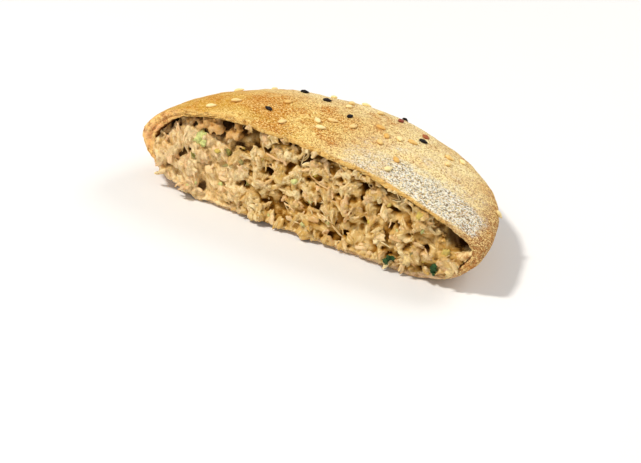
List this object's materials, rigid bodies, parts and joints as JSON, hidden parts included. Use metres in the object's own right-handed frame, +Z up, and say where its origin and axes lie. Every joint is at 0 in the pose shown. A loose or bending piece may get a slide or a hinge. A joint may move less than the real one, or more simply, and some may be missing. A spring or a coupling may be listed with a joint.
{
  "type": "tuna fatayer half",
  "caption": "Cut half of a round stuffed flatbread: thin golden baked crust with seeds, closed round the back, and a craggy flaked tuna filling showing at the cut.",
  "frame": {"origin": "centre of the bounding box at the flat base", "axes": "+X along the cut, +Y from the cut face to the closed back, +Z up from the base to the crown"},
  "size_m": [0.1242, 0.0632, 0.0335],
  "materials": {
    "bread_crust": "dry baked dough, golden with toasted patches and flour",
    "tuna_filling": "moist flaked tuna bound with mayonnaise, with green bits"
  },
  "bodies": {
    "root": {"bread_crust": "bread_crust", "tuna_filling": "tuna_filling"}
  },
  "joints": []
}
